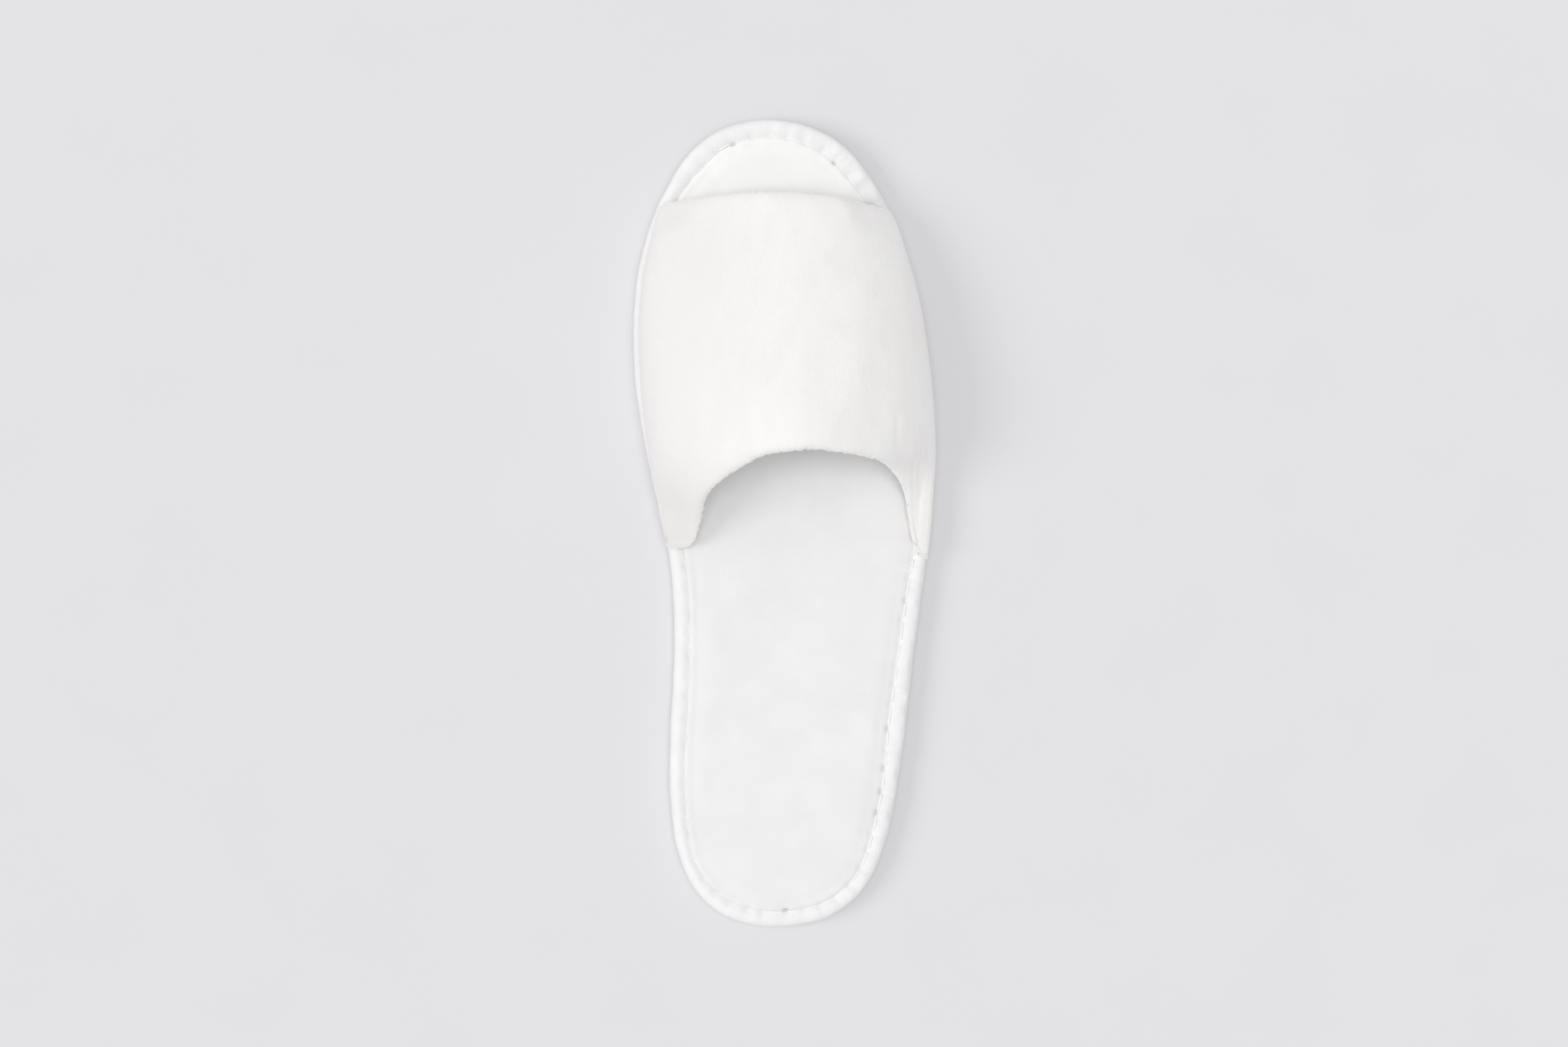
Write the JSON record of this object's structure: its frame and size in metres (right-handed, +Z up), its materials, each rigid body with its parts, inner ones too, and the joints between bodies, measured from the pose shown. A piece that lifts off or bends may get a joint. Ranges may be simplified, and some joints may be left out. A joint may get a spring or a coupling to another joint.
{
  "type": "hotel slipper",
  "caption": "Open-toe, backless hotel slipper for the right foot: flat foam sole, padded insole, arched padded vamp and a sewn edge tape.",
  "frame": {"origin": "on the floor, under the middle of the slipper's box", "axes": "+Y from heel to toe, +X to the lateral side of the right foot, +Z up"},
  "size_m": [0.1066, 0.285, 0.0495],
  "materials": {
    "outsole_foam": "closed-cell foam sheet, fine matte grain",
    "insole_cloth": "brushed white fabric over thin foam, soft short nap",
    "upper_cloth": "brushed white velour over padding, soft short nap",
    "binding_tape": "folded white knit tape, sewn through"
  },
  "bodies": {
    "root": {"outsole": "outsole_foam", "insole": "insole_cloth", "upper": "upper_cloth", "edge_binding": "binding_tape"}
  },
  "joints": []
}
